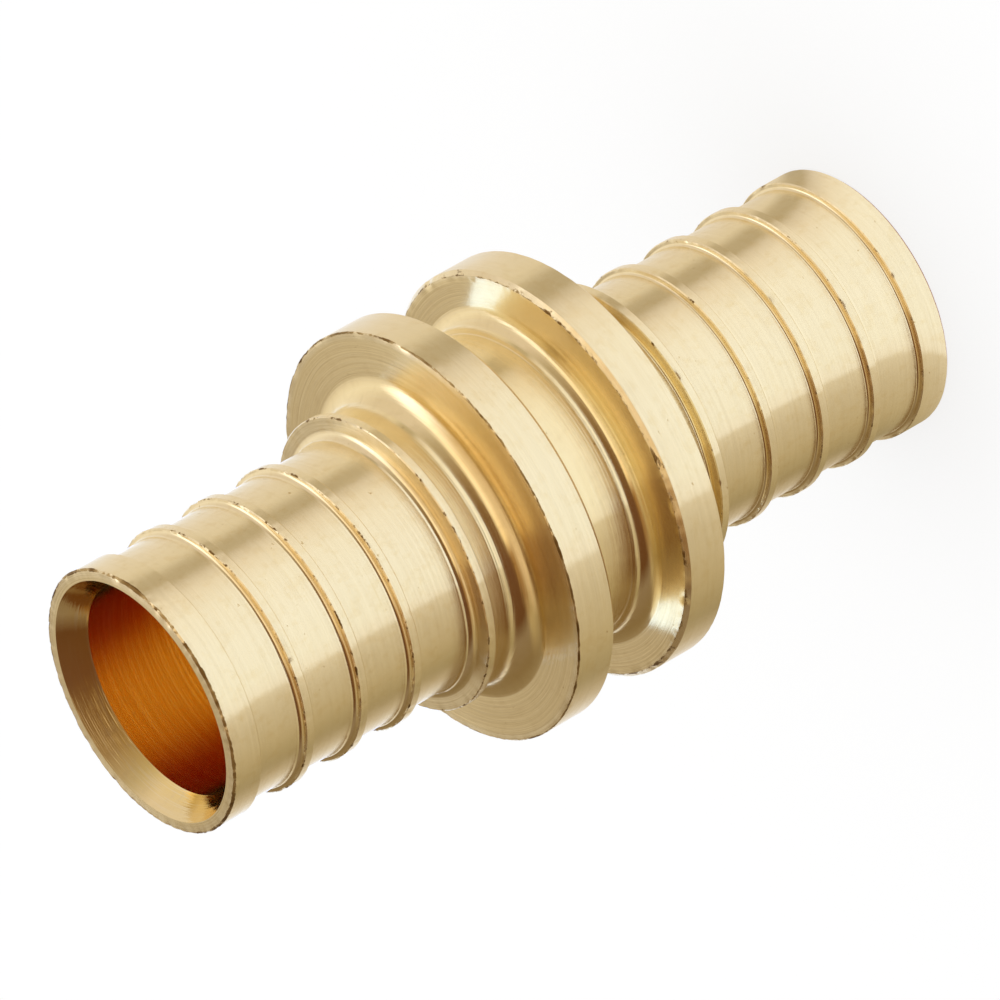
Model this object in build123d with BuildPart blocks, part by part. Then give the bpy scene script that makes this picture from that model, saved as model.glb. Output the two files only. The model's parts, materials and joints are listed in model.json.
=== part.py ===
"""Straight pipe coupling, turned in one piece from brass bar.

A ribbed spigot at each end goes into a plastic pipe. Two flanges stand back to back in the middle,
and the jaws of the pressing tool go into the groove between them. The part is the same above and
below its middle plane.
"""

import os

from build123d import *

os.makedirs("parts", exist_ok=True)

# Driving dimensions in millimetres. Z runs along the bore, and Z = 0 is the middle plane.
bore_diameter = 20.0
bore_mouth_width = 1.4
bore_mouth_angle = 60.0

spigot_length = 26.8
spigot_wall = 1.9

rib_count = 3
rib_height = 0.6
rib_width = 0.95
rib_pitch = 5.95
rib_foot_width = 0.25
end_land_length = 3.0
end_land_to_rib = 5.35

stop_collar_height = 2.1
stop_collar_width = 0.9
stop_collar_outer_foot_width = 0.5
stop_collar_inner_foot_width = 0.3

neck_wall = 2.8
neck_length = 4.5
neck_fillet = 2.0

tool_groove_wall = 4.45
tool_groove_width = 8.1
tool_groove_fillet = 1.8

flange_height = 5.05
flange_width = 4.25
flange_chamfer = 0.4

# Radii, worked out from the bore.
bore_radius = bore_diameter / 2
bore_mouth_radius = bore_radius + bore_mouth_width
spigot_radius = bore_radius + spigot_wall
rib_radius = spigot_radius + rib_height
stop_collar_radius = spigot_radius + stop_collar_height
neck_radius = bore_radius + neck_wall
tool_groove_radius = bore_radius + tool_groove_wall
flange_radius = tool_groove_radius + flange_height

# Heights above the middle plane.
flange_inner_height = tool_groove_width / 2
flange_outer_height = flange_inner_height + flange_width
stop_inner_height = flange_outer_height + neck_length
stop_outer_height = stop_inner_height + stop_collar_width
end_height = stop_outer_height + spigot_length
end_land_height = end_height - end_land_length
rib_heights = [end_land_height - end_land_to_rib - index * rib_pitch for index in range(rib_count)]


def ring_edges(part, radius, lowest, highest):
    """Circular edges of one radius whose height lies between two values."""
    rings = part.edges().filter_by(GeomType.CIRCLE).filter_by_position(Axis.Z, lowest, highest)
    return rings.filter_by(lambda ring: abs(ring.radius - radius) < 1e-6)


with BuildPart() as coupling_body:
    # The upper half of the turned outline, drawn from the axis outwards and still without a bore.
    with BuildSketch(Plane.XZ) as turned_outline:
        with BuildLine():
            Polyline(
                (0, 0),
                (tool_groove_radius, 0),
                (tool_groove_radius, flange_inner_height),
                (flange_radius, flange_inner_height),
                (flange_radius, flange_outer_height),
                (neck_radius, flange_outer_height),
                (neck_radius, stop_inner_height),
                (stop_collar_radius, stop_inner_height),
                (stop_collar_radius, stop_outer_height),
                (spigot_radius, stop_outer_height),
                (spigot_radius, end_height),
                (0, end_height),
                close=True,
            )
        make_face()
        # Ribs, and the plain land at the spigot's end, all turned to the same diameter.
        with Locations([(0, height) for height in rib_heights]):
            Rectangle(rib_radius, rib_width, align=(Align.MIN, Align.CENTER))
        with Locations((0, end_height)):
            Rectangle(rib_radius, end_land_length, align=(Align.MIN, Align.MAX))
    revolve(axis=Axis.Z)

    # The two deep inner corners are rounded by the nose of the tool that cut them.
    groove_corner = ring_edges(coupling_body, tool_groove_radius, flange_inner_height, flange_inner_height)
    fillet(groove_corner, radius=tool_groove_fillet)
    neck_corner = ring_edges(coupling_body, neck_radius, flange_outer_height, flange_outer_height)
    fillet(neck_corner, radius=neck_fillet)

    # The shallow ones, at the feet of the stop collar and the ribs, are small cones.
    collar_inner_corner = ring_edges(coupling_body, neck_radius, stop_inner_height, stop_inner_height)
    chamfer(collar_inner_corner, length=stop_collar_inner_foot_width)
    collar_outer_corner = ring_edges(coupling_body, spigot_radius, stop_outer_height, stop_outer_height)
    chamfer(collar_outer_corner, length=stop_collar_outer_foot_width)
    lowest_rib_foot = min(rib_heights) - rib_width / 2
    rib_corners = ring_edges(coupling_body, spigot_radius, lowest_rib_foot, end_land_height)
    chamfer(rib_corners, length=rib_foot_width)

    # The flange edge that faces the tool groove is broken so that the jaws slide in.
    groove_lip = ring_edges(coupling_body, flange_radius, flange_inner_height, flange_inner_height)
    chamfer(groove_lip, length=flange_chamfer)

    # Bore, with a wide cone at its mouth.
    with Locations((0, 0, end_height)):
        CounterSinkHole(
            radius=bore_radius,
            counter_sink_radius=bore_mouth_radius,
            counter_sink_angle=bore_mouth_angle,
        )

    # The lower half is the upper half turned over.
    mirror(about=Plane.XY)

coupling_body.part.label = "coupling_body"
export_step(coupling_body.part, "parts/coupling_body.step")

print("length", round(2 * end_height, 3), "flange diameter", round(2 * flange_radius, 3))
print("rib diameter", round(2 * rib_radius, 3), "spigot diameter", round(2 * spigot_radius, 3))
print("volume, cubic millimetres", round(coupling_body.part.volume))
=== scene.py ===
# %% [markdown]
# # A turned brass pipe coupling
#
# The real part is one piece of brass bar, turned in a lathe and bored from both ends. Two ribbed
# spigots go into plastic pipes, and a pressing tool holds it by the groove between two flanges.
# Everything that the eye reads on it comes from that history: fine rings left by the tool, a burr
# where each cut ended, soft corners made by the nose of the tool, and the sheen of ringed metal.
# So this lesson draws one outline, turns it with Geometry Nodes, and then finishes the metal.

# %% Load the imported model
import json
import math
from collections import namedtuple

import bpy
from mathutils import Matrix, Vector


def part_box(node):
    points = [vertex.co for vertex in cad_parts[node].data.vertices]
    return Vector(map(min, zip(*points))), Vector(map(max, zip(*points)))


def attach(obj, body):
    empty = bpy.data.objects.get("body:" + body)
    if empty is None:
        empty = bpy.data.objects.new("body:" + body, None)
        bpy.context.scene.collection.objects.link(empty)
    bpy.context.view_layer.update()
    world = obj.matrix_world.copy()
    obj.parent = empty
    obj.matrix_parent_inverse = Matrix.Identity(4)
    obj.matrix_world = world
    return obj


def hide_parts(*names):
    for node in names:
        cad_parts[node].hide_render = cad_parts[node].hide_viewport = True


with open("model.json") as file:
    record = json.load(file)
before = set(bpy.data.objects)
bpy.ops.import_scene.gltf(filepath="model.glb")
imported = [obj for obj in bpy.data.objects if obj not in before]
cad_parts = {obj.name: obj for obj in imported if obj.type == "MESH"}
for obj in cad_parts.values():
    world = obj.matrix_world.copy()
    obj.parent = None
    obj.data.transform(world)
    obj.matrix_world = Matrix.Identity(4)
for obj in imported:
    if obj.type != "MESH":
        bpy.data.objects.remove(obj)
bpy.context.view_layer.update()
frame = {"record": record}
lowest_corner, highest_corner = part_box("coupling_body")
print("packed model, mm", [round(1000 * value, 2) for value in highest_corner - lowest_corner])

# %% [markdown]
# ## Sizes
#
# The overall radius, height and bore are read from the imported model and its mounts. The rest are the
# maker's own sizes for the turned steps, in millimetres, and heights count from the middle plane.

# %% Sizes of the turned steps
mm = 0.001
mounts = {mount["name"]: mount for mount in frame["record"]["mounts"]}
flange_radius = highest_corner.x / mm
end_height = highest_corner.z / mm
bore_radius = mounts["bore"]["dims"]["r_mm"]
bore_wall_height = mounts["bore"]["dims"]["length_mm"] / 2
rib_radius = mounts["spigot_upper"]["dims"]["r_mm"]
end_land_length = mounts["spigot_upper"]["dims"]["length_mm"]

mouth_width = 1.4
spigot_wall = 1.9
neck_wall = 2.8
groove_wall = 4.45
collar_step = 2.1
flange_chamfer = 0.4
spigot_radius = bore_radius + spigot_wall
neck_radius = bore_radius + neck_wall
groove_radius = bore_radius + groove_wall
collar_radius = spigot_radius + collar_step

groove_edge = 4.05
flange_thickness = 4.25
neck_length = 4.5
collar_thickness = 0.9
flange_top = groove_edge + flange_thickness
collar_bottom = flange_top + neck_length
collar_top = collar_bottom + collar_thickness

ribs_per_spigot = 3
rib_width = 0.95
rib_pitch = 5.95
first_rib_drop = 5.35
end_land_bottom = end_height - end_land_length
first_rib = end_land_bottom - first_rib_drop
rib_centres = [first_rib - index * rib_pitch for index in range(ribs_per_spigot)]
print("rib heights, mm", [round(height, 2) for height in rib_centres])

# %% [markdown]
# ## Camera
#
# A long lens from a metre away keeps the two ends nearly the same size, as in a catalogue picture.
# The camera looks down on the standing part and is rolled, so that the part lies across the frame.
# The roll only turns the picture: nothing in the scene leans.

# %% Camera
view_elevation = math.radians(29.2)
picture_roll = math.radians(119.57)
camera_distance = 0.97

camera_data = bpy.data.cameras.new("catalogue_camera")
camera_data.sensor_width = 36.0
camera_data.lens = 404.4
camera_data.shift_x = -0.0038
camera_data.shift_y = -0.0041
camera_data.clip_end = 30.0
camera = bpy.data.objects.new("catalogue_camera", camera_data)
bpy.context.scene.collection.objects.link(camera)

level_right = Vector((1, 0, 0))
level_up = Vector((0, math.sin(view_elevation), math.cos(view_elevation)))
backward = Vector((0, -math.cos(view_elevation), math.sin(view_elevation)))
rolled_right = level_right * math.cos(picture_roll) - level_up * math.sin(picture_roll)
rolled_up = level_right * math.sin(picture_roll) + level_up * math.cos(picture_roll)
turn = Matrix((rolled_right, rolled_up, backward)).transposed().to_4x4()
camera.matrix_world = Matrix.Translation(backward * camera_distance) @ turn
bpy.context.scene.camera = camera
print("camera at, m", [round(value, 3) for value in camera.matrix_world.translation])

# %% [markdown]
# ## Helpers for node trees
#
# A node tree reads better as short sentences. One helper adds a node with its options and inputs, and
# the others do one sum, one change of range or one mix of colours with it. An input takes either a
# plain value or another node's output.

# %% Helpers for nodes
def node(tree, kind, inputs=None, **options):
    """Adds a node, sets its options, and fills its inputs by name or by number."""
    made = tree.nodes.new(kind)
    for name, value in options.items():
        setattr(made, name, value)
    for key, value in (inputs or {}).items():
        if isinstance(value, bpy.types.NodeSocket):
            tree.links.new(value, made.inputs[key])
        else:
            made.inputs[key].default_value = value
    return made


def calc(tree, operation, *values):
    """One sum on numbers, as the output of a Math node."""
    return node(tree, "ShaderNodeMath", dict(enumerate(values)), operation=operation).outputs[0]


def fit_range(tree, value, low, high, new_low=0.0, new_high=1.0):
    """Maps a range of numbers on to another, and holds it at the ends."""
    # The Map Range node's first five inputs, in the order in which it shows them.
    inputs = {0: value, 1: low, 2: high, 3: new_low, 4: new_high}
    return node(tree, "ShaderNodeMapRange", inputs).outputs[0]


def blend_colour(tree, share, first, second):
    """Mixes two colours by a share from 0 to 1."""
    # The Mix node has inputs for every kind of value: 6 and 7 are its colours, and so is output 2.
    made = node(tree, "ShaderNodeMix", {0: share, 6: first, 7: second}, data_type="RGBA")
    return made.outputs[2]


print("helpers for nodes", [helper.__name__ for helper in (node, calc, fit_range, blend_colour)])

# %% [markdown]
# ## The studio
#
# Bare metal has no colour of its own to show: it shows the room. A white table fills the picture, and
# a few coloured cards lie round the part like slices of a cake, so that long tan and olive bands run
# down its sides. The cards are painted into the floor's material by compass direction, and only
# reflections meet them. To the camera the floor is plain white with the part's soft shadow.

# %% Cards by compass direction
Stop = namedtuple("Stop", "direction colour")
WHITE = (1.0, 1.0, 1.0)
table_cards = [
    Stop(-180, (1.6, 2.3, 4.5)),
    Stop(-170, (1.5, 2.1, 4.0)),
    Stop(-163, (1.15, 1.25, 1.5)),
    Stop(-150, (0.94, 0.89, 0.83)),
    Stop(-130, (0.60, 0.50, 0.36)),
    Stop(-112, (0.40, 0.32, 0.18)),
    Stop(-100, (0.47, 0.38, 0.22)),
    Stop(-86, (0.56, 0.46, 0.29)),
    Stop(-60, (0.68, 0.59, 0.44)),
    Stop(-45, (0.82, 0.74, 0.60)),
    Stop(-43, (1.03, 0.99, 0.92)),
    Stop(-30, (1.08, 1.08, 1.04)),
    Stop(0, (1.10, 1.11, 1.10)),
    Stop(36, (1.07, 1.05, 1.00)),
    Stop(58, (0.96, 0.88, 0.77)),
    Stop(68, (0.80, 0.71, 0.60)),
    Stop(76, (0.54, 0.45, 0.31)),
    Stop(86, (0.55, 0.46, 0.32)),
    Stop(96, (0.82, 0.72, 0.56)),
    Stop(124, (0.88, 0.79, 0.67)),
    Stop(150, (0.95, 0.92, 0.90)),
    Stop(163, (1.15, 1.25, 1.5)),
    Stop(170, (1.5, 2.1, 4.0)),
    Stop(180, (1.6, 2.3, 4.5)),
]


def compass_ramp(tree, vector, stops):
    """A colour ramp read by the compass direction of a vector: 0 at the front, and positive to the right."""
    parts = node(tree, "ShaderNodeSeparateXYZ", {0: vector})
    towards_front = calc(tree, "MULTIPLY", parts.outputs["Y"], -1.0)
    direction = calc(tree, "ARCTAN2", parts.outputs["X"], towards_front)
    place_on_ramp = calc(tree, "MULTIPLY_ADD", direction, 1 / math.tau, 0.5)
    ramp_node = node(tree, "ShaderNodeValToRGB", {0: place_on_ramp})
    elements = ramp_node.color_ramp.elements
    while len(elements) < len(stops):
        elements.new(1.0)
    for element, stop in zip(elements, stops):
        element.position = stop.direction / 360 + 0.5
        element.color = (*stop.colour, 1.0)
    return ramp_node.outputs["Color"]


print("stops on the table's ramp", len(table_cards))

# %% Floor material
shadow_share = 0.25
table_white = 0.9
glow_in_bore = (1.5, 1.5, 1.2, 1.0)
dark_in_bore = (0.35, 0.06, 0.02, 1.0)
glow_radius = 4.0
dark_radius = 7.5


def floor_material():
    """White to the camera, and the cards to reflections, with a glow where the bore looks down."""
    material = bpy.data.materials.new("white_table")
    material.use_nodes = True
    tree = material.node_tree
    tree.nodes.clear()
    place = node(tree, "ShaderNodeTexCoord").outputs["Object"]
    ray = node(tree, "ShaderNodeLightPath").outputs
    flat_place = node(tree, "ShaderNodeVectorMath", {0: place, 1: (1, 1, 0)}, operation="MULTIPLY")
    from_axis = node(
        tree, "ShaderNodeVectorMath", {0: flat_place.outputs[0]}, operation="LENGTH"
    ).outputs["Value"]
    under_bore = fit_range(tree, from_axis, glow_radius * mm, dark_radius * mm)
    bore_colour = blend_colour(tree, under_bore, glow_in_bore, dark_in_bore)
    outside = calc(tree, "GREATER_THAN", from_axis, rib_radius * mm)
    card_colour = blend_colour(tree, outside, bore_colour, compass_ramp(tree, place, table_cards))
    cards = node(tree, "ShaderNodeEmission", {"Color": card_colour})
    white = node(tree, "ShaderNodeEmission", {"Color": (*WHITE, 1.0)})
    matt_colour = (table_white, table_white, table_white, 1.0)
    matt = node(tree, "ShaderNodeBsdfDiffuse", {"Color": matt_colour})
    seen = calc(tree, "MULTIPLY", ray["Is Camera Ray"], 1 - shadow_share)
    plain = node(tree, "ShaderNodeMixShader", {0: seen, 1: matt.outputs[0], 2: white.outputs[0]})
    mirrored = calc(tree, "MAXIMUM", ray["Is Glossy Ray"], ray["Is Transmission Ray"])
    mixed = node(tree, "ShaderNodeMixShader", {0: mirrored, 1: plain.outputs[0], 2: cards.outputs[0]})
    node(tree, "ShaderNodeOutputMaterial", {"Surface": mixed.outputs[0]})
    return material


white_table = floor_material()
print("nodes in the floor's material", len(white_table.node_tree.nodes))

# %% Floor
floor_half_side = 6.0
floor_height = lowest_corner.z
floor_mesh = bpy.data.meshes.new("floor")
floor_corners = [
    (sign_x * floor_half_side, sign_y * floor_half_side, floor_height)
    for sign_x, sign_y in ((-1, -1), (1, -1), (1, 1), (-1, 1))
]
floor_mesh.from_pydata(floor_corners, [], [(0, 1, 2, 3)])
floor_mesh.materials.append(white_table)
floor = bpy.data.objects.new("floor", floor_mesh)
bpy.context.scene.collection.objects.link(floor)
print("floor at, mm", round(floor_height / mm, 2))

# %% [markdown]
# Faces that look up reflect the room and not the table. To the camera the room is white. In reflections
# it is dark brown low on the left and in front, where nothing is lit, and bright low on the right.
# Above that runs a ring of soft lights, and straight overhead the room is dimmer again.

# %% Cards of the room
low_room_cards = [
    Stop(-180, (0.52, 0.44, 0.33)),
    Stop(-173, (0.30, 0.22, 0.12)),
    Stop(-150, (0.25, 0.17, 0.08)),
    Stop(-113, (0.28, 0.20, 0.12)),
    Stop(-94, (0.14, 0.06, 0.02)),
    Stop(-50, (0.16, 0.07, 0.03)),
    Stop(0, (0.24, 0.13, 0.05)),
    Stop(25, (0.34, 0.22, 0.11)),
    Stop(60, (0.54, 0.44, 0.30)),
    Stop(85, (0.80, 0.69, 0.58)),
    Stop(125, (0.80, 0.70, 0.58)),
    Stop(155, (0.98, 0.90, 0.76)),
    Stop(172, (0.85, 0.76, 0.62)),
    Stop(180, (0.52, 0.44, 0.33)),
]
high_room_cards = [
    Stop(-180, (0.60, 0.50, 0.38)),
    Stop(-170, (0.28, 0.20, 0.10)),
    Stop(-117, (0.50, 0.38, 0.20)),
    Stop(-85, (0.35, 0.20, 0.08)),
    Stop(-48, (0.38, 0.20, 0.06)),
    Stop(-32, (1.15, 0.88, 0.50)),
    Stop(0, (1.30, 1.08, 0.76)),
    Stop(50, (1.30, 1.08, 0.76)),
    Stop(85, (1.35, 1.20, 1.00)),
    Stop(117, (1.60, 1.55, 1.50)),
    Stop(155, (1.90, 1.85, 1.80)),
    Stop(168, (1.60, 1.50, 1.40)),
    Stop(180, (0.60, 0.50, 0.38)),
]
print("stops in the room's ramps", len(low_room_cards), len(high_room_cards))

# %% Room
top_of_room = (0.82, 0.61, 0.38, 1.0)
low_room_ends, high_room_starts = 0.58, 0.68
high_room_ends, top_starts = 0.76, 0.92

world = bpy.data.worlds.new("studio_room")
world.use_nodes = True
bpy.context.scene.world = world
tree = world.node_tree
tree.nodes.clear()
direction = node(tree, "ShaderNodeTexCoord").outputs["Generated"]
height_of_direction = node(tree, "ShaderNodeSeparateXYZ", {0: direction}).outputs["Z"]
mirrored_room = blend_colour(
    tree,
    fit_range(tree, height_of_direction, low_room_ends, high_room_starts),
    compass_ramp(tree, direction, low_room_cards),
    compass_ramp(tree, direction, high_room_cards),
)
in_top = fit_range(tree, height_of_direction, high_room_ends, top_starts)
mirrored_room = blend_colour(tree, in_top, mirrored_room, top_of_room)
ray = node(tree, "ShaderNodeLightPath").outputs
mirrored = calc(tree, "MAXIMUM", ray["Is Glossy Ray"], ray["Is Transmission Ray"])
room_colour = blend_colour(tree, mirrored, (*WHITE, 1.0), mirrored_room)
room = node(tree, "ShaderNodeBackground", {"Color": room_colour, "Strength": 1.0})
node(tree, "ShaderNodeOutputWorld", {"Surface": room.outputs[0]})
print("nodes in the room", len(tree.nodes))

# %% Bounces and colours
# Light bounces up and down the bore many times before it comes out.
bounces_in_bore = 24
bpy.context.scene.cycles.glossy_bounces = bounces_in_bore
bpy.context.scene.cycles.max_bounces = bounces_in_bore
bpy.context.scene.view_settings.view_transform = "Standard"
print("bounces in the bore", bounces_in_bore)

# %% Soft lamp above
lamp_data = bpy.data.lights.new("soft_lamp", "AREA")
lamp_data.size = 0.8
lamp_data.energy = 2.6
soft_lamp = bpy.data.objects.new("soft_lamp", lamp_data)
bpy.context.scene.collection.objects.link(soft_lamp)
soft_lamp.location = (0.0, 0.0, 1.2)
soft_lamp.visible_glossy = False
print("lamp above, m", round(soft_lamp.location.z, 2))

# %% [markdown]
# ## The outline
#
# Only half of the section is written, from the mouth of the bore, round the end and down the outside
# to the middle plane. The other half is the same corners mirrored. Each corner says how far it is
# rounded and in how many steps, because the nose of a tool leaves a radius in every inner corner, and
# a burr or a small flat on every outer one. A guard point stands just beside a round, so that smooth
# shading doesn't creep across the flat next to it.

# %% Kinds of corner
Corner = namedtuple("Corner", "radius height rounding steps burr guard")


def soft(radius, height, rounding, steps):
    """An inner corner, rounded by the nose of the tool."""
    return Corner(radius, height, rounding, steps, burr=0.0, guard=0.06)


def broken(radius, height, rounding=0.1):
    """An outer corner with a small flat, a little torn."""
    return Corner(radius, height, rounding, steps=1, burr=0.25, guard=0.2)


def crisp(radius, height):
    """A corner between two cuts, left sharp."""
    return Corner(radius, height, rounding=0.0, steps=0, burr=0.0, guard=0.0)


def burred(radius, height, rounding=0.1, burr=0.84):
    """An outer corner where the cut ended, with the ragged burr that it left."""
    return Corner(radius, height, rounding, steps=1, burr=burr, guard=0.35)


def rib_corners(centre):
    """A rib, from its outer side to its inner side."""
    top, bottom = centre + rib_width / 2, centre - rib_width / 2
    return [
        soft(spigot_radius, top, rounding=0.45, steps=5),
        burred(rib_radius, top),
        broken(rib_radius, bottom),
        soft(spigot_radius, bottom, rounding=0.25, steps=4),
    ]


print("corners in a rib", len(rib_corners(centre=0.0)))

# %% Corners of the upper half
upper_corners = [
    crisp(bore_radius, bore_wall_height),
    crisp(bore_radius + mouth_width, end_height),
    burred(rib_radius, end_height, rounding=0.16, burr=1.08),
    broken(rib_radius, end_land_bottom),
    soft(spigot_radius, end_land_bottom, rounding=0.25, steps=4),
    *[corner for centre in rib_centres for corner in rib_corners(centre)],
    soft(spigot_radius, collar_top, rounding=0.8, steps=7),
    burred(collar_radius, collar_top),
    broken(collar_radius, collar_bottom),
    soft(neck_radius, collar_bottom, rounding=0.3, steps=4),
    soft(neck_radius, flange_top, rounding=2.5, steps=9),
    burred(flange_radius, flange_top, burr=1.02),
    crisp(flange_radius, groove_edge + flange_chamfer),
    crisp(flange_radius - flange_chamfer, groove_edge),
    soft(groove_radius, groove_edge, rounding=1.8, steps=9),
]
print("corners in the upper half", len(upper_corners))

# %% [markdown]
# The tool worked downwards along the whole part, so the lower lands have their burrs on the upper edge
# too: the two edges of each lower land trade burrs, and these are lighter. The lower flange has its
# chamfer there, and the chamfer is torn, worst where it meets the wall of the groove. The brown torn
# colour on it is partly painted shade that darkens the chamfer.

# %% Corners of the lower half
lower_corners = [corner._replace(height=-corner.height) for corner in reversed(upper_corners)]
burred_least = 0.8
lower_land_burr = 0.72
lower_land_tear = 0.25
for index, (upper_edge, lower_edge) in enumerate(zip(lower_corners, lower_corners[1:])):
    if lower_edge.burr < burred_least:
        continue
    lower_corners[index + 1] = lower_edge._replace(burr=lower_land_tear)
    if lower_edge.radius == flange_radius:
        # Ragged burrs on the lower chamfer, whose brown torn colour is also painted shade that darkens the
        # chamfer.
        lower_corners[index - 1] = lower_corners[index - 1]._replace(burr=0.94, guard=0.35)
        lower_corners[index] = upper_edge._replace(burr=0.6, guard=0.24)
    else:
        lower_corners[index] = upper_edge._replace(burr=lower_land_burr)
print("torn corners in the lower half", sum(corner.burr > 0 for corner in lower_corners))

# %% The whole section
# A fine line that the tool scored in the floor of the groove where it turned back.
score_height = -2.15
score_half_width = 0.08
score_depth = 0.05
score_line = [
    crisp(groove_radius, score_height + score_half_width),
    crisp(groove_radius - score_depth, score_height),
    crisp(groove_radius, score_height - score_half_width),
]

# The loop starts in the middle of the bore, and it ends a hair below so that it closes there.
bore_start = crisp(bore_radius, 0.0)
bore_finish = bore_start._replace(height=-0.03)
section = [bore_start, *upper_corners, *score_line, *lower_corners, bore_finish]
print("corners in the section", len(section))

# %% [markdown]
# Rounding a corner is school geometry. The two straights leave the corner at a known angle, the arc
# touches each at the same distance, and its centre lies on the line that halves the angle.

# %% Round one corner
def round_corner(before, corner, after):
    """The points that stand for one corner, with the first and last where the arc meets the straights."""
    place = Vector((corner.radius, corner.height))
    if corner.steps == 0:
        return [place]
    to_before = (Vector((before.radius, before.height)) - place).normalized()
    to_after = (Vector((after.radius, after.height)) - place).normalized()
    half_angle = to_before.angle(to_after) / 2
    touch = corner.rounding / math.tan(half_angle)
    centre = place + (to_before + to_after).normalized() * corner.rounding / math.sin(half_angle)
    start = place + to_before * touch - centre
    sweep = start.angle_signed(place + to_after * touch - centre)
    points = []
    for step in range(corner.steps + 1):
        angle = -sweep * step / corner.steps
        turned_x = start.x * math.cos(angle) - start.y * math.sin(angle)
        turned_y = start.x * math.sin(angle) + start.y * math.cos(angle)
        points.append(centre + Vector((turned_x, turned_y)))
    return points


example = round_corner(crisp(0.0, 1.0), soft(0.0, 0.0, rounding=0.5, steps=2), crisp(1.0, 0.0))
print("a square corner, rounded", [(round(point.x, 2), round(point.y, 2)) for point in example])

# %% Guard points beside a round
OutlinePoint = namedtuple("OutlinePoint", "place burr nosed")
largest_guard_share = 0.4
wide_face_share = 0.15


def guards_beside(corner, end, next_start):
    """Points on the straight beside a round: one, or two where a burr needs to die out on a wide face."""
    free_length = (next_start - end).length
    if not 0 < corner.guard < largest_guard_share * free_length:
        return []
    along_straight = (next_start - end).normalized()
    guards = [OutlinePoint(end + along_straight * corner.guard, 0.0, 0.0)]
    if corner.burr > burred_least and corner.guard < wide_face_share * free_length:
        guards.append(OutlinePoint(end + along_straight * 2 * corner.guard, 0.0, 0.0))
    return guards


wide_face = (Vector((0.0, 0.0)), Vector((10.0, 0.0)))
print("guards beside a burr on a wide face", len(guards_beside(burred(0.0, 0.0), *wide_face)))

# %% Points of the outline
steps_of_a_nose = 4


def outline_points(corners):
    """The whole closed section as points, with guard points where there is room for them."""
    rounds = [
        round_corner(corners[index - 1], corner, corners[(index + 1) % len(corners)])
        for index, corner in enumerate(corners)
    ]
    outline = []
    for index, (corner, points) in enumerate(zip(corners, rounds)):
        previous_end = rounds[index - 1][-1]
        next_start = rounds[(index + 1) % len(rounds)][0]
        nosed = 1.0 if corner.steps >= steps_of_a_nose else 0.0
        outline += reversed(guards_beside(corner, points[0], previous_end))
        outline += [OutlinePoint(point, corner.burr, nosed) for point in points]
        outline += guards_beside(corner, points[-1], next_start)
    return outline


outline = outline_points(section)
print("points in the outline", len(outline))

# %% [markdown]
# The outline becomes a loop of edges in the plane y = 0. Each point carries what the later steps need:
# how far along the outline it lies, whether it is on a burr, and how sheltered it is. Sheltered brass,
# as in the bore, is painted a deeper gold than the outside. This is painted reflection: it stands in for
# light bouncing between brass walls.

# %% Outline mesh with its attributes
# How sheltered a place is sets two things: its painted deeper gold, which stands in for light bouncing
# between brass walls, and its smoother finish.
mouth_fade = 0.6
groove_shelter = 0.3
open_rim_width = 0.5


def shelter_of(place):
    """1 in the bore, fading over its mouth, a little in the neck and the tool groove, and 0 outside."""
    if place.x < bore_radius + mouth_width:
        return 1.0 - mouth_fade * (place.x - bore_radius) / mouth_width
    if abs(place.y) < collar_bottom and place.x < flange_radius - open_rim_width:
        return groove_shelter
    return 0.0


outline_mesh = bpy.data.meshes.new("section_outline")
outline_places = [(point.place.x * mm, 0.0, point.place.y * mm) for point in outline]
outline_edges = [(index, (index + 1) % len(outline)) for index in range(len(outline))]
outline_mesh.from_pydata(outline_places, outline_edges, [])

along = [0.0]
for first, second in zip(outline, outline[1:]):
    along.append(along[-1] + (second.place - first.place).length)
outline_values = {
    "along": along,
    "burr": [point.burr for point in outline],
    "nosed": [point.nosed for point in outline],
    "shelter": [shelter_of(point.place) for point in outline],
}
for name, values in outline_values.items():
    outline_mesh.attributes.new(name, "FLOAT", "POINT").data.foreach_set("value", values)
print("length of the outline, mm", round(along[-1], 1))

# %% [markdown]
# ## Turning the outline
#
# Spin, Screw and Curve to Mesh all turn a profile. A grid is clearer here: one side of the grid counts
# the points of the outline, the other counts steps round the axis, and each grid point looks up its
# outline point and is turned by its own angle. Burrs and nicks are then small moves of the same
# points along the surface's normal, always inwards, so that the part keeps its size.

# %% Geometry Nodes tree for a turned body
turning = bpy.data.node_groups.new("turned_body", "GeometryNodeTree")
turning.is_modifier = True
for name, kind in (
    ("Geometry", "Geometry"),
    ("Steps around", "Int"),
    ("Burr depth", "Float"),
    ("Nick depth", "Float"),
    ("Seed", "Float"),
    ("Material", "Material"),
):
    turning.interface.new_socket(name, in_out="INPUT", socket_type="NodeSocket" + kind)
turning.interface.new_socket("Geometry", in_out="OUTPUT", socket_type="NodeSocketGeometry")
given = node(turning, "NodeGroupInput").outputs


def whole(operation, *values):
    """One sum on whole numbers."""
    made = node(turning, "FunctionNodeIntegerMath", dict(enumerate(values)), operation=operation)
    return made.outputs[0]


# Grid of outline points against steps round the axis, each with one repeated to close the ring.
outline_count = node(
    turning, "GeometryNodeAttributeDomainSize", {0: given["Geometry"]}, component="MESH"
).outputs["Point Count"]
rows = whole("ADD", outline_count, 1)
columns = whole("ADD", given["Steps around"], 1)
grid = node(turning, "GeometryNodeMeshGrid", {"Vertices X": rows, "Vertices Y": columns})
index = node(turning, "GeometryNodeInputIndex").outputs[0]
outline_index = whole("MODULO", whole("DIVIDE_FLOOR", index, columns), outline_count)
step_index = whole("MODULO", index, columns)


def look_up(value, data_type):
    """A value of the outline point that a grid point stands for."""
    inputs = {"Geometry": given["Geometry"], "Value": value, "Index": outline_index}
    return node(turning, "GeometryNodeSampleIndex", inputs, data_type=data_type).outputs[0]


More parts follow.
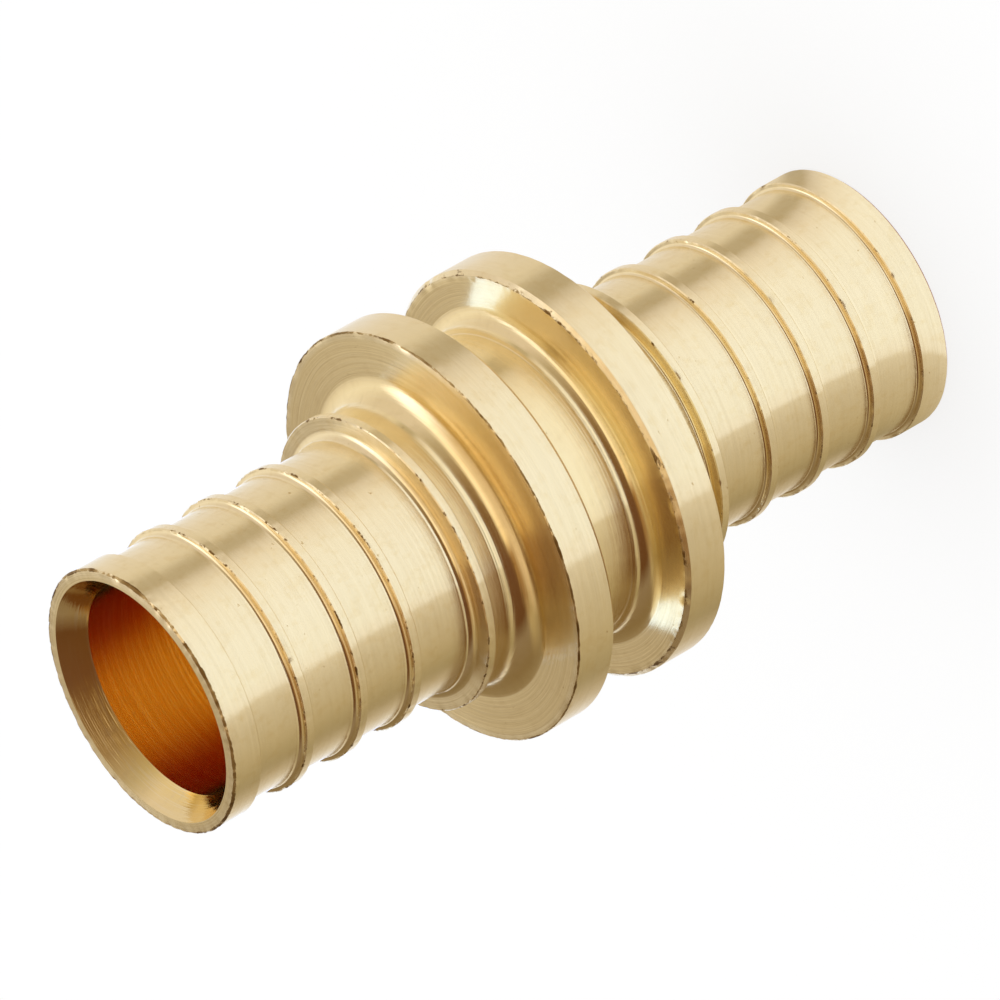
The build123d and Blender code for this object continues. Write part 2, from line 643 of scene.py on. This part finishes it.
def outline_value(name):
    """One of the outline's own numbers, for each grid point."""
    stored = node(turning, "GeometryNodeInputNamedAttribute", {"Name": name}, data_type="FLOAT")
    return look_up(stored.outputs[0], "FLOAT")


print("inputs of the turning tree", [socket.name for socket in given if socket.name])

# %% Place each grid point
closing_distance = 1e-7
outline_place = look_up(node(turning, "GeometryNodeInputPosition").outputs[0], "FLOAT_VECTOR")
place_parts = node(turning, "ShaderNodeSeparateXYZ", {0: outline_place}).outputs
angle = calc(turning, "MULTIPLY", calc(turning, "DIVIDE", step_index, given["Steps around"]), math.tau)
cosine, sine = calc(turning, "COSINE", angle), calc(turning, "SINE", angle)
turned_place = node(
    turning,
    "ShaderNodeCombineXYZ",
    {
        "X": calc(turning, "MULTIPLY", place_parts["X"], cosine),
        "Y": calc(turning, "MULTIPLY", place_parts["X"], sine),
        "Z": place_parts["Z"],
    },
).outputs[0]

# The finish follows the tool: round the part, and along the outline, in millimetres.
tool_path = node(
    turning,
    "ShaderNodeCombineXYZ",
    {
        "X": calc(turning, "MULTIPLY", cosine, rib_radius),
        "Y": calc(turning, "MULTIPLY", sine, rib_radius),
        "Z": outline_value("along"),
    },
).outputs[0]
mesh = grid.outputs["Mesh"]
for name, data_type, value in (
    ("tool_path", "FLOAT_VECTOR", tool_path),
    ("burr", "FLOAT", outline_value("burr")),
    ("nosed", "FLOAT", outline_value("nosed")),
    ("shelter", "FLOAT", outline_value("shelter")),
):
    mesh = node(
        turning,
        "GeometryNodeStoreNamedAttribute",
        {"Geometry": mesh, "Name": name, "Value": value},
        data_type=data_type,
        domain="POINT",
    ).outputs[0]
mesh = node(turning, "GeometryNodeSetPosition", {"Geometry": mesh, "Position": turned_place}).outputs[0]
mesh = node(
    turning, "GeometryNodeMergeByDistance", {"Geometry": mesh, "Distance": closing_distance}
).outputs[0]
print("nodes that turn the outline", len(turning.nodes))

# %% [markdown]
# A burr is a thin lip of torn brass where a cut ended. It could be sculpted, but then a change of size
# would lose it. So noise moves the points of the burred corners inwards: fine noise makes the ragged
# edge, and coarse noise bites out a nick here and there.

# %% Burrs and nicks
def ragged_noise(size, detail, lift):
    """Noise with lumps of one size in millimetres, shifted by the seed and cut off below a level."""
    position = node(turning, "GeometryNodeInputPosition").outputs[0]
    noise = node(
        turning,
        "ShaderNodeTexNoise",
        {"Vector": position, "W": given["Seed"], "Scale": 1 / (size * mm), "Detail": detail},
        noise_dimensions="4D",
    )
    above = calc(turning, "SUBTRACT", noise.outputs[0], lift)
    return calc(turning, "MAXIMUM", above, 0.0)


burr_stored = node(turning, "GeometryNodeInputNamedAttribute", {"Name": "burr"}, data_type="FLOAT")
burr_here = burr_stored.outputs[0]
ragged_here = ragged_noise(size=0.7, detail=2.0, lift=0.48)
ragged = calc(turning, "MULTIPLY", ragged_here, given["Burr depth"])
nicked_here = ragged_noise(size=2.6, detail=1.0, lift=0.64)
nicked = calc(turning, "MULTIPLY", nicked_here, given["Nick depth"])
inwards = calc(turning, "MULTIPLY", calc(turning, "ADD", ragged, nicked), burr_here)
outward_normal = node(turning, "GeometryNodeInputNormal").outputs[0]
move = node(
    turning,
    "ShaderNodeVectorMath",
    {0: outward_normal, "Scale": calc(turning, "MULTIPLY", inwards, -1.0)},
    operation="SCALE",
).outputs[0]
mesh = node(turning, "GeometryNodeSetPosition", {"Geometry": mesh, "Offset": move}).outputs[0]
print("nodes with the burrs and nicks", len(turning.nodes))

# %% [markdown]
# Turned steps have crisp edges, and the rounds between them are smooth. An edge that bends more than
# a small angle is shaded sharp, and the rest is smooth, so that reflections run on without facets.

# %% Shading and the end of the tree
sharp_angle = math.radians(25)
mesh = node(turning, "GeometryNodeSetShadeSmooth", {"Geometry": mesh, "Shade Smooth": True}).outputs[0]
edge_angle = node(turning, "GeometryNodeInputMeshEdgeAngle").outputs[0]
mesh = node(
    turning,
    "GeometryNodeSetShadeSmooth",
    {
        "Geometry": mesh,
        "Selection": calc(turning, "GREATER_THAN", edge_angle, sharp_angle),
        "Shade Smooth": False,
    },
    domain="EDGE",
).outputs[0]
mesh = node(turning, "GeometryNodeRealizeInstances", {"Geometry": mesh}).outputs[0]
mesh = node(
    turning, "GeometryNodeSetMaterial", {"Geometry": mesh, "Material": given["Material"]}
).outputs[0]
node(turning, "NodeGroupOutput", {"Geometry": mesh})
print("nodes in the turning tree", len(turning.nodes))

# %% [markdown]
# ## Turned brass
#
# A turned surface is like a record: smooth along the groove and rough across it. So the reflection is
# drawn out along the part and stays crisp round it, which is why the bands on its sides have sharp
# edges. An anisotropic shader does this, with its direction taken round the axis. The visible rings are
# a small bump that follows the tool's path, and the burrs are painted a dull tan and brown.

# %% Brass noise
def tool_noise(tree, around, along_part, detail=2.0, roughness=0.5):
    """Noise that is stretched along the tool's path: marks per millimetre round the part and along it."""
    path = node(tree, "ShaderNodeAttribute", attribute_name="tool_path").outputs["Vector"]
    scale = (around, around, along_part)
    stretched = node(tree, "ShaderNodeMapping", {"Vector": path, "Scale": scale}).outputs[0]
    inputs = {"Vector": stretched, "Scale": 1.0, "Detail": detail, "Roughness": roughness}
    return node(tree, "ShaderNodeTexNoise", inputs).outputs[0]


brass = bpy.data.materials.new("turned_brass")
brass.use_nodes = True
tree = brass.node_tree
tree.nodes.clear()
shelter = node(tree, "ShaderNodeAttribute", attribute_name="shelter").outputs["Fac"]
burr = node(tree, "ShaderNodeAttribute", attribute_name="burr").outputs["Fac"]
nosed = node(tree, "ShaderNodeAttribute", attribute_name="nosed").outputs["Fac"]

rings = tool_noise(tree, around=0.06, along_part=4.0, detail=3.0, roughness=0.65)
streaks = tool_noise(tree, around=0.22, along_part=9.0)
stains = tool_noise(tree, around=1.1, along_part=0.9, detail=3.0, roughness=0.6)
specks = tool_noise(tree, around=1.7, along_part=1.7, roughness=0.6)
bore_streaks = tool_noise(tree, around=0.05, along_part=4.5, roughness=0.6)
crumbs = tool_noise(tree, around=1.6, along_part=2.2, detail=3.0, roughness=0.65)
patches = tool_noise(tree, around=0.55, along_part=0.2)
print("nodes with the brass noise", len(tree.nodes))

# %% [markdown]
# Each mark reads one noise. It starts to show at a low level of that noise, and it is full at a high
# one. Painted highlight lines, standing in for glints off the tool rings, run round the sheltered parts and
# the bore, and the outside has faint stains and a few tan specks.

# %% Brass colour
pale_brass = (0.90, 0.795, 0.56, 1.0)
bounce_painted_brass = (0.925, 0.745, 0.35, 1.0)
stained_brass = (0.84, 0.70, 0.43, 1.0)
painted_glint_line = (0.98, 0.92, 0.74, 1.0)
burr_brown = (0.27, 0.16, 0.055, 1.0)
burr_tan = (0.58, 0.42, 0.20, 1.0)
bore_shelter = 0.95

# Painted reflection: sheltered parts and the bore get a deeper gold that stands in for light bouncing
# between brass walls.
base = blend_colour(tree, shelter, pale_brass, bounce_painted_brass)
streak_marks = fit_range(tree, streaks, low=0.45, high=0.8, new_high=0.3)
stain_marks = fit_range(tree, stains, low=0.5, high=0.8, new_high=0.7)
base = blend_colour(tree, calc(tree, "ADD", streak_marks, stain_marks), base, stained_brass)
speck_marks = fit_range(tree, specks, low=0.735, high=0.77, new_high=0.8)
base = blend_colour(tree, speck_marks, base, burr_tan)
line_marks = fit_range(tree, streaks, low=0.53, high=0.62, new_high=0.4)
# Painted highlights: near-white lines stand in for glints off the tool rings in sheltered parts and the
# bore.
base = blend_colour(tree, calc(tree, "MULTIPLY", line_marks, shelter), base, painted_glint_line)
in_bore = fit_range(tree, shelter, low=bore_shelter, high=1.0)
bore_lines = fit_range(tree, bore_streaks, low=0.5, high=0.6)
base = blend_colour(tree, calc(tree, "MULTIPLY", bore_lines, in_bore), base, painted_glint_line)
print("nodes with the brass colour", len(tree.nodes))

# %% Tan and brown on the burrs
crumb_weight, patch_weight = 1.1, 0.9
torn_starts, torn_full = 1.88, 2.02

weighted_crumbs = calc(tree, "MULTIPLY", crumbs, crumb_weight)
weighted_patches = calc(tree, "MULTIPLY", patches, patch_weight)
ragged = calc(tree, "ADD", weighted_crumbs, weighted_patches)
torn = fit_range(tree, calc(tree, "ADD", burr, ragged), torn_starts, torn_full)
brown_share = fit_range(tree, patches, low=0.46, high=0.6)
burr_colour = blend_colour(tree, brown_share, burr_tan, burr_brown)
colour = blend_colour(tree, torn, base, burr_colour)
print("nodes with the burrs' colours", len(tree.nodes))

# %% Brass roughness and shader
smoothest_ring, roughest_ring = 0.155, 0.235
roughness_left_by_nose = 0.5
mouth_starts, mouth_full = 0.35, 0.4
mouth_polish = 0.55
torn_roughness = 0.25
ring_relief = 0.0115 * mm
streak_relief_share = 0.5
quarter_turn = 0.25

# The roughness follows the rings. Rounds, the bore and above all its mouth are smoother.
roughness = fit_range(tree, rings, low=0.3, high=0.7, new_low=smoothest_ring, new_high=roughest_ring)
nosed_or_sheltered = calc(tree, "MAXIMUM", nosed, shelter)
smoother = fit_range(tree, nosed_or_sheltered, 0.0, 1.0, new_low=1.0, new_high=roughness_left_by_nose)
roughness = calc(tree, "MULTIPLY", roughness, smoother)
in_mouth = calc(tree, "SUBTRACT", fit_range(tree, shelter, mouth_starts, mouth_full), in_bore)
polished_mouth = calc(tree, "MULTIPLY_ADD", in_mouth, -mouth_polish, 1.0)
roughness = calc(tree, "MULTIPLY", roughness, polished_mouth)
roughness = calc(tree, "MULTIPLY_ADD", torn, torn_roughness, roughness)

streak_height = calc(tree, "MULTIPLY", streaks, streak_relief_share)
ring_height = calc(tree, "ADD", rings, streak_height)
bump_inputs = {"Strength": 1.0, "Distance": ring_relief, "Height": ring_height}
bumped_normal = node(tree, "ShaderNodeBump", bump_inputs).outputs[0]
round_the_axis = node(tree, "ShaderNodeTangent", direction_type="RADIAL", axis="Z").outputs[0]
shader = node(
    tree,
    "ShaderNodeBsdfPrincipled",
    {
        "Base Color": colour,
        "Metallic": 1.0,
        "Roughness": roughness,
        "Anisotropic": 1.0,
        "Anisotropic Rotation": quarter_turn,
        "Normal": bumped_normal,
        "Tangent": round_the_axis,
    },
)
node(tree, "ShaderNodeOutputMaterial", {"Surface": shader.outputs[0]})
print("nodes in the brass", len(tree.nodes))

# %% [markdown]
# ## The finished body
#
# The modifier turns the outline with the sizes below, and its result becomes a plain mesh. Its volume
# is measured, because a body that is turned inside out would have a volume below zero.

# %% Turn the body
steps_around = 370
blank = bpy.data.objects.new("coupling_turned", outline_mesh)
bpy.context.scene.collection.objects.link(blank)
lathe = blank.modifiers.new("lathe", "NODES")
lathe.node_group = turning
settings = {
    "Steps around": steps_around,
    "Burr depth": 0.32 * mm,
    "Nick depth": 1.2 * mm,
    "Seed": 3.0,
    "Material": brass,
}
for item in turning.interface.items_tree:
    if item.in_out == "INPUT" and item.name in settings:
        lathe[item.identifier] = settings[item.name]

depsgraph = bpy.context.evaluated_depsgraph_get()
turned_mesh = bpy.data.meshes.new_from_object(
    blank.evaluated_get(depsgraph), preserve_all_data_layers=True, depsgraph=depsgraph
)
blank.modifiers.remove(lathe)
turned_mesh.name = "coupling_turned"
blank.data = turned_mesh
coupling = blank
print(coupling.name, "points", len(turned_mesh.vertices))

# %% Measure the turned body
triangles = sum(len(face.vertices) - 2 for face in turned_mesh.polygons)
turned_mesh.calc_loop_triangles()
volume = sum(
    turned_mesh.vertices[a].co.dot(turned_mesh.vertices[b].co.cross(turned_mesh.vertices[c].co)) / 6
    for a, b, c in (triangle.vertices for triangle in turned_mesh.loop_triangles)
)
print("triangles", triangles, "volume, cubic mm", round(volume / mm**3))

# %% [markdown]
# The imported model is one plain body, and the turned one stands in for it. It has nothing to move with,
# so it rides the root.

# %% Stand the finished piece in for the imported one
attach(coupling, "root")
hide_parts("coupling_body")
print(coupling.name, "stands in for the packed body")
